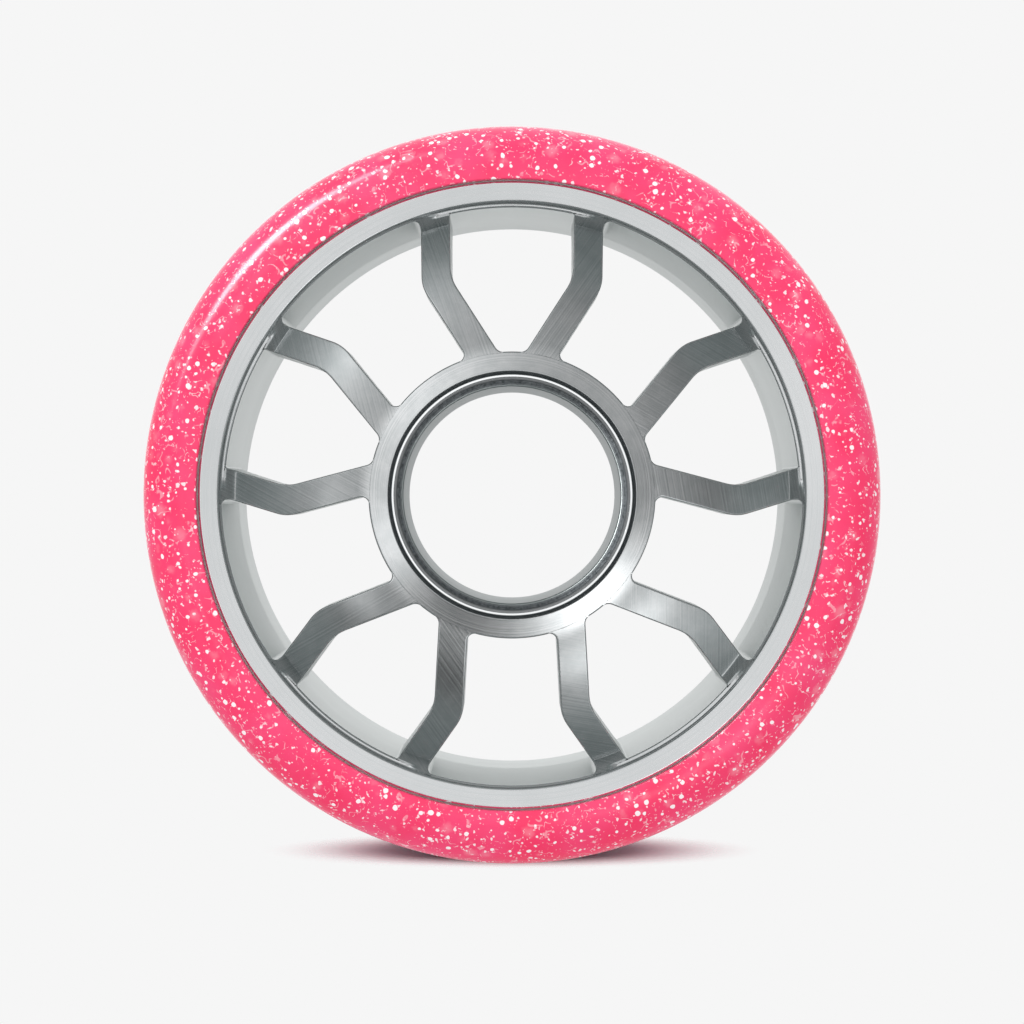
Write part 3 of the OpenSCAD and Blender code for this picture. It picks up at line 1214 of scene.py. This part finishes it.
def aimed(light: bpy.types.Light, place: Place, target: Place, up: Place) -> bpy.types.Object:
    """Stands a light at a place and turns it to a target.

    Its Z axis points away from the target, and its X axis lies square to that and to up.

    Args:
        light: The light's data.
        place: Where it stands, in millimetres.
        target: What it shines on, in millimetres.
        up: The direction that its X axis is square to.

    Returns:
        The light.
    """
    made = bpy.data.objects.new(light.name, light)
    at = np.array(place) * MM
    back = unit(at - np.array(target) * MM)
    side = unit(np.cross(up, back))
    turn = np.eye(4)
    turn[:3, :3] = np.stack([side, np.cross(back, side), back], axis=1)
    turn[:3, 3] = at
    bpy.context.scene.collection.objects.link(made)
    made.matrix_world = Matrix(turn.tolist())
    return made


@dataclass
class Studio:
    """A pale studio: a floor that fades into a white backdrop, even light and a camera on the axle."""

    # Camera
    camera_y: float = -296.5
    lens_mm: float = 105.6
    sensor_mm: float = 36.0
    shift_y: float = -0.0166
    clip_m: tuple[float, float] = (0.01, 10.0)
    # Floor and backdrop
    floor_z: float = -35.0
    floor_r: float = 70.0
    floor_middle_r: float = 0.5
    floor_grid: tuple[int, int] = (24, 96)
    shade_x: float = 25.0
    shade_y: float = 16.0
    shade_range: tuple[float, float] = (0.45, 1.0)
    # Painted tint: a cool colour laid into the floor where the wheel's shadow falls, which offsets the
    # tyre's pink bounce light
    shadow_tint_range: tuple[float, float] = (0.5, 1.1)
    backdrop: str = "F6F6F6"
    shadow_tint: str = "C4EAEA"
    # Even light, and soft lamps that colour the wheel and its floor
    even: float = 0.92
    lamp_far: float = 600.0
    soft: tuple[Lamp, ...] = (Lamp("overhead", 90, 0, 360.0, 0.35), Lamp("key", 52, 332, 300.0, 1.15))
    # Narrow lamp that shines into the bore
    bore_far: float = 300.0
    bore_from_deg: tuple[float, float] = (27, 285)
    bore_target: Place = (0.6, -16, 0)
    bore_watts: float = 1.1
    bore_cone_deg: float = 3.4
    bore_blend: float = 0.1
    bore_lamp_r: float = 1.0
    # Curved strip of short lamps that the tyre's shoulder mirrors
    strip_far: float = 420.0
    strip_off_deg: float = 71.0
    strip_from_deg: float = 286.0
    strip_step_deg: float = 9.5
    strip_size: tuple[float, float] = (70.0, 100.0)
    strip_watts: float = 0.48
    strip_shares: tuple[float, ...] = (0.15, 0.4, 0.8, 1.0, 0.9, 0.55, 0.25)
    # What gloss sees: angle off the front in degrees, level, and red's share of the level
    falloff: tuple[tuple[float, float, float], ...] = (
        (0, 1.14, 1.0),
        (4, 1.02, 1.0),
        (6, 0.60, 1.0),
        (8, 0.28, 1.0),
        (11, 0.105, 1.0),
        (18, 0.088, 1.0),
        (22, 0.105, 1.0),
        (26, 0.18, 0.98),
        (30, 0.26, 0.95),
        (35, 0.30, 0.91),
        (42, 0.275, 0.89),
        (55, 0.24, 0.89),
        (75, 0.26, 0.95),
        (100, 0.32, 1.0),
        (125, 0.45, 1.0),
        (142, 0.62, 1.0),
        (155, 0.88, 1.0),
        (180, 1.00, 1.0),
    )
    glows: tuple[Glow, ...] = (
        Glow(13, 144, 0.35, 300),
        Glow(18, 141, 2.45, 150),
        Glow(14, 160, 0.50, 220),
        Glow(18, 247, 1.45, 240),
        Glow(20, 280, 0.42, 40),
        Glow(20, 325, 0.70, 40),
        Glow(18, 20, 0.22, 50),
        Glow(18, 58, 0.28, 110),
        Glow(16, 92, 0.12, 120),
        Glow(30, 130, 0.50, 60),
        Glow(28, 158, 0.25, 80),
        Glow(29, 312, 0.80, 200),
        Glow(33, 311, 0.40, 70),
        Glow(33, 345, 0.20, 70),
        Glow(45, 310, 0.16, 20),
        Glow(45, 122, 0.16, 20),
        Glow(49, 252, 0.40, 90),
        Glow(49, 108, 0.50, 90),
        Glow(125, 0, 0.45, 3),
    )

    def camera(self) -> None:
        """Puts the camera in front of the wheel, level with its axle."""
        data = bpy.data.cameras.new("camera")
        data.lens, data.sensor_width, data.shift_y = self.lens_mm, self.sensor_mm, self.shift_y
        data.clip_start, data.clip_end = self.clip_m
        made = bpy.data.objects.new("camera", data)
        made.location = (0, self.camera_y * MM, 0)
        made.rotation_euler = (math.radians(90), 0, 0)
        bpy.context.scene.collection.objects.link(made)
        bpy.context.scene.camera = made

    def gloss(self, tree: Tree) -> Socket:
        """Adds what gloss sees of the studio.

        The level falls off with the angle from the front, and each glow adds the cosine of the angle to it,
        raised to a power.

        Args:
            tree: The world's nodes.

        Returns:
            Socket of the colour.
        """
        ray = add(tree, "TexCoord").outputs["Generated"]
        ahead = add(tree, "VectorMath", {0: ray, 1: (0, -1, 0)}, operation="DOT_PRODUCT")
        angle = add(tree, "Math", {0: ahead.outputs["Value"]}, operation="ARCCOSINE")
        t = add(tree, "Math", {0: angle.outputs[0], 1: math.pi}, operation="DIVIDE")
        ramp = add(tree, "ValToRGB", {0: t.outputs[0]})
        stops = ramp.color_ramp.elements
        for place, _, _ in self.falloff[1:-1]:
            stops.new(place / 180)
        for stop, (place, level, red) in zip(stops, self.falloff):
            stop.position, stop.color = place / 180, (level * red, level, level, 1)
        total = ramp.outputs[0]
        for glow in self.glows:
            ends = {0: ray, 1: toward(glow.off_axis_deg, glow.clock_deg)}
            near = add(tree, "VectorMath", ends, operation="DOT_PRODUCT")
            some = add(tree, "Math", {0: near.outputs["Value"], 1: 0.0}, operation="MAXIMUM")
            lobe = add(tree, "Math", {0: some.outputs[0], 1: glow.narrow}, operation="POWER")
            part = add(tree, "Math", {0: lobe.outputs[0], 1: glow.strength}, operation="MULTIPLY")
            both = {0: total, 1: part.outputs[0]}
            total = add(tree, "VectorMath", both, operation="ADD").outputs[0]
        return total

    def world(self) -> None:
        """Lights the object evenly, and shows the camera the backdrop and gloss a dim-sided studio."""
        world = bpy.data.worlds.new("studio")
        bpy.context.scene.world = world
        tree = emptied(world)
        path = add(tree, "LightPath")
        mirrored = add(
            tree,
            "Math",
            {0: path.outputs["Is Glossy Ray"], 1: path.outputs["Is Transmission Ray"]},
            operation="MAXIMUM",
        )
        even = add(tree, "Background", {"Color": (1, 1, 1, 1), "Strength": self.even})
        studio = add(tree, "Background", {"Color": self.gloss(tree), "Strength": 1.0})
        seen = add(tree, "Background", {"Color": linear(self.backdrop), "Strength": 1.0})
        lit = add(tree, "MixShader", {0: mirrored.outputs[0], 1: even.outputs[0], 2: studio.outputs[0]})
        out = add(
            tree,
            "MixShader",
            {0: path.outputs["Is Camera Ray"], 1: lit.outputs[0], 2: seen.outputs[0]},
        )
        add(tree, "OutputWorld", {"Surface": out.outputs[0]})

    @staticmethod
    def lamp(name: str, place: Place, size: tuple[float, float], watts: float) -> bpy.types.Object:
        """Adds a rectangular soft light that faces the wheel.

        Args:
            name: The light's name.
            place: Where it stands, in millimetres.
            size: Its width and height in millimetres.
            watts: Its power.

        Returns:
            The light.
        """
        data = bpy.data.lights.new(name, "AREA")
        data.shape, data.energy = "RECTANGLE", watts
        data.size, data.size_y = size[0] * MM, size[1] * MM
        return aimed(data, place, target=(0, 0, 0), up=(0, -1, 0))

    def lamps(self, tyre: bpy.types.Object) -> None:
        """Adds the lamps.

        Two only colour the wheel and its floor, a narrow one shines into the bore, and a curved strip, made
        of short ones, draws the shine on the tyre's shoulder.

        Args:
            tyre: The piece that the strip shines on.
        """
        for soft in self.soft:
            place = toward(soft.off_axis_deg, soft.clock_deg, self.lamp_far)
            made = self.lamp(soft.name, place, (soft.wide, soft.wide), soft.watts)
            made.visible_glossy = False
        bore = bpy.data.lights.new("bore", "SPOT")
        bore.spot_size, bore.spot_blend = math.radians(self.bore_cone_deg), self.bore_blend
        bore.energy, bore.shadow_soft_size = self.bore_watts, self.bore_lamp_r * MM
        aimed(bore, toward(*self.bore_from_deg, self.bore_far), self.bore_target, up=(0, 0, 1))
        only = bpy.data.collections.new("tyre_shine")
        only.objects.link(tyre)
        wide, high = self.strip_size
        for i, share in enumerate(self.strip_shares):
            clock = self.strip_from_deg + self.strip_step_deg * i
            place = toward(self.strip_off_deg, clock, self.strip_far)
            strip = self.lamp(f"strip_{i}", place, (wide, high * share), self.strip_watts * share * share)
            strip.visible_diffuse = False
            strip.light_linking.receiver_collection = only

    def paper(self) -> bpy.types.Material:
        """Builds the floor's paper: matt white, with a painted cool tint in the shade that offsets the pink
        light thrown by the tyre, clear outside an oval.

        Uncoated paper has no gloss, so the eye sees only the wheel's soft shadow on it.

        Returns:
            The material.
        """
        made = bpy.data.materials.new("paper_white")
        tree = emptied(made)
        place = add(tree, "TexCoord").outputs["Object"]
        span = (1 / (self.shade_x * MM), 1 / (self.shade_y * MM), 0)
        flat = add(tree, "VectorMath", {0: place, 1: span}, operation="MULTIPLY")
        reach = add(tree, "VectorMath", {0: flat.outputs[0]}, operation="LENGTH").outputs["Value"]
        fade = add(
            tree,
            "MapRange",
            {"Value": reach, "From Min": self.shade_range[0], "From Max": self.shade_range[1]},
            interpolation_type="SMOOTHSTEP",
        )
        # Painted tint: the floor is cool-coloured near the wheel, in its shadow, to offset the tyre's pink
        # bounce light.
        near = add(
            tree,
            "MapRange",
            {"Value": reach, "From Min": self.shadow_tint_range[0], "From Max": self.shadow_tint_range[1]},
        )
        tone = add(
            tree,
            "Mix",
            {0: near.outputs[0], MIX_A: linear(self.shadow_tint), MIX_B: linear(self.backdrop)},
            data_type="RGBA",
        )
        matt = add(tree, "BsdfDiffuse", {"Color": tone.outputs[MIX_OUT]})
        clear = add(tree, "BsdfTransparent")
        both = {0: fade.outputs[0], 1: matt.outputs[0], 2: clear.outputs[0]}
        mixed = add(tree, "MixShader", both)
        add(tree, "OutputMaterial", {"Surface": mixed.outputs[0]})
        return made

    def floor(self) -> None:
        """Lays a round pale floor under the wheel: rings of points round a small middle face."""
        rows, cols = self.floor_grid
        reach = np.linspace(self.floor_middle_r, self.floor_r, rows)[:, None]
        angle = np.linspace(0, 2 * math.pi, cols, endpoint=False)
        level = np.full((rows, cols), self.floor_z)
        points = np.stack([reach * np.sin(angle), reach * np.cos(angle), level], -1)
        ids = np.arange(rows * cols).reshape(rows, cols)
        near, far = ids[:-1], ids[1:]
        quads = np.stack([near, np.roll(near, -1, 1), np.roll(far, -1, 1), far], -1).reshape(-1, 4)
        mesh = bpy.data.meshes.new("floor")
        mesh.from_pydata((points * MM).reshape(-1, 3).tolist(), [], [*quads.tolist(), ids[0].tolist()])
        mesh.materials.append(self.paper())
        made = bpy.data.objects.new("floor", mesh)
        bpy.context.scene.collection.objects.link(made)

    def build(self, tyre: bpy.types.Object) -> None:
        """Sets up the camera, the world, the lamps and the floor.

        Args:
            tyre: The piece that the strip light shines on.
        """
        bpy.context.scene.view_settings.view_transform = "Standard"
        self.camera()
        self.world()
        self.lamps(tyre)
        self.floor()


def main() -> None:
    """Builds the wheel round its frame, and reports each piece."""
    logging.basicConfig(level=logging.INFO, format="%(name)s: %(message)s")
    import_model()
    pieces = {}
    for node, part in (("hub", Hub()), ("tyre", Tyre())):
        piece = pieces[node] = part.build()
        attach(piece, ROOT)
        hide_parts(node)
        made = piece.data
        LOG.info("%s: %d faces in %d finishes", piece.name, len(made.polygons), len(made.materials))
    Studio().build(pieces["tyre"])


if __name__ == "__main__":
    main()
